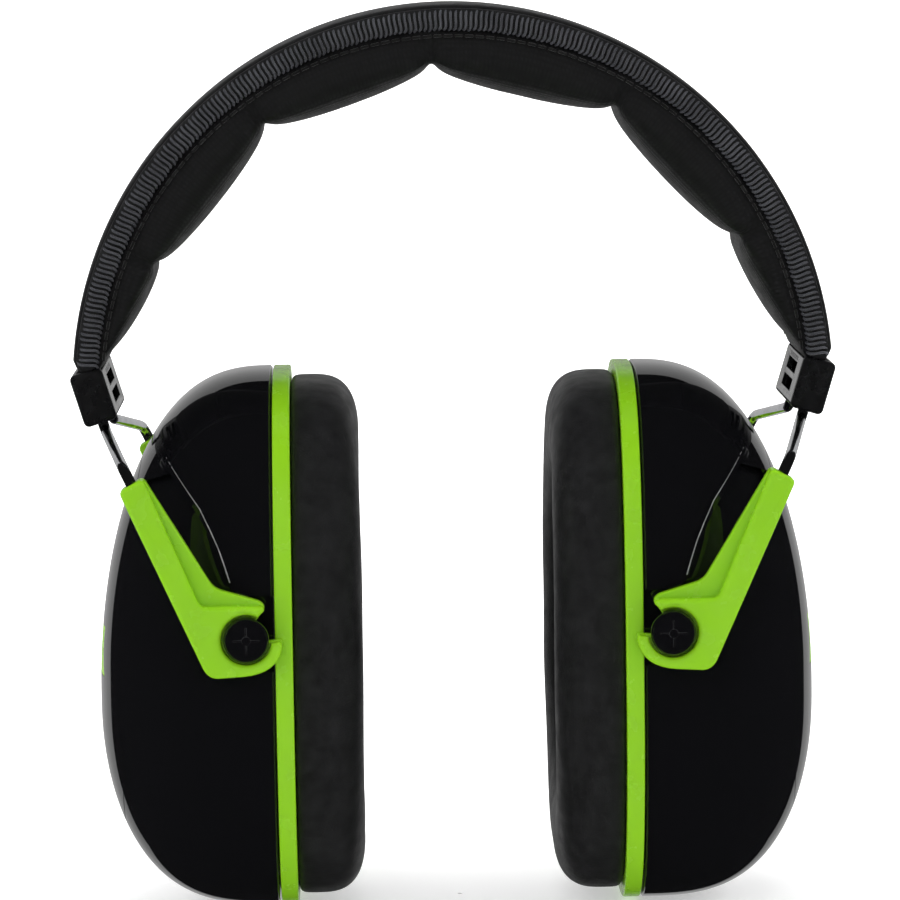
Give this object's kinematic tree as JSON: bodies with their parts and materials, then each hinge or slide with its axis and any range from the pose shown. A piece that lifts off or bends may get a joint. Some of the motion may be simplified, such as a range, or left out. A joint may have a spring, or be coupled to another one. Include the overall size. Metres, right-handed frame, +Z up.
{
  "type": "earmuff hearing protector",
  "caption": "Earmuff with padded headband, spring wires, telescoping arms and tilting glossy ear cups with soft sealing cushions.",
  "frame": {"origin": "inside of the headband pad's crown, on the middle line, where the top of a head touches it", "axes": "+X towards the ear cup on the right seen from the front, +Y to the rear, +Z up along the object's middle line"},
  "size_m": [0.1544, 0.0938, 0.184],
  "materials": {
    "cover_fabric": "matt black leatherette",
    "pad_leatherette": "matt black perforated-look leatherette",
    "binding_thread": "charcoal overlock thread",
    "strip_plastic": "satin black",
    "spring_wire": "polished",
    "buckle_plastic": "satin black, fine grain",
    "lime_plastic": "glossy lime green",
    "gloss_black": "polished piano black",
    "plate_plastic": "satin black",
    "acoustic_foam": "open-cell polyurethane foam",
    "cushion_leatherette": "matt black leatherette"
  },
  "bodies": {
    "headband": {"band_cover": "cover_fabric", "band_strip": "strip_plastic", "headband_pad": "pad_leatherette", "front_binding": "binding_thread", "rear_binding": "binding_thread", "front_wire": "spring_wire", "rear_wire": "spring_wire", "left_buckle": "buckle_plastic", "left_buckle_lid": "buckle_plastic", "right_buckle": "buckle_plastic", "right_buckle_lid": "buckle_plastic"},
    "left_yoke": {"left_front_arm": "lime_plastic", "left_rear_arm": "lime_plastic"},
    "left_cup": {"left_front_pivot": "gloss_black", "left_rear_pivot": "gloss_black", "left_cup_shell": "gloss_black", "left_trim_ring": "lime_plastic", "left_seal_plate": "plate_plastic", "left_cavity_foam": "acoustic_foam", "left_cushion_skin": "cushion_leatherette", "left_cushion_foam": "acoustic_foam", "left_accent_inlay": "lime_plastic"},
    "right_yoke": {"right_front_arm": "lime_plastic", "right_rear_arm": "lime_plastic"},
    "right_cup": {"right_front_pivot": "gloss_black", "right_rear_pivot": "gloss_black", "right_cup_shell": "gloss_black", "right_trim_ring": "lime_plastic", "right_seal_plate": "plate_plastic", "right_cavity_foam": "acoustic_foam", "right_cushion_skin": "cushion_leatherette", "right_cushion_foam": "acoustic_foam", "right_accent_inlay": "lime_plastic"}
  },
  "joints": [
    {"name": "left_height", "type": "slide", "parent": "headband", "child": "left_yoke", "axis": [0.4283, 0, -0.9036], "range_m": [0, 0.02]},
    {"name": "left_tilt", "type": "hinge", "parent": "left_yoke", "child": "left_cup", "pos_m": [-0.0421, 0, -0.10945], "axis": [0, 1, 0], "range_deg": [-8, 8]},
    {"name": "right_height", "type": "slide", "parent": "headband", "child": "right_yoke", "axis": [-0.4283, 0, -0.9036], "range_m": [0, 0.02]},
    {"name": "right_tilt", "type": "hinge", "parent": "right_yoke", "child": "right_cup", "pos_m": [0.0421, 0, -0.10945], "axis": [0, 1, 0], "range_deg": [-8, 8]}
  ]
}
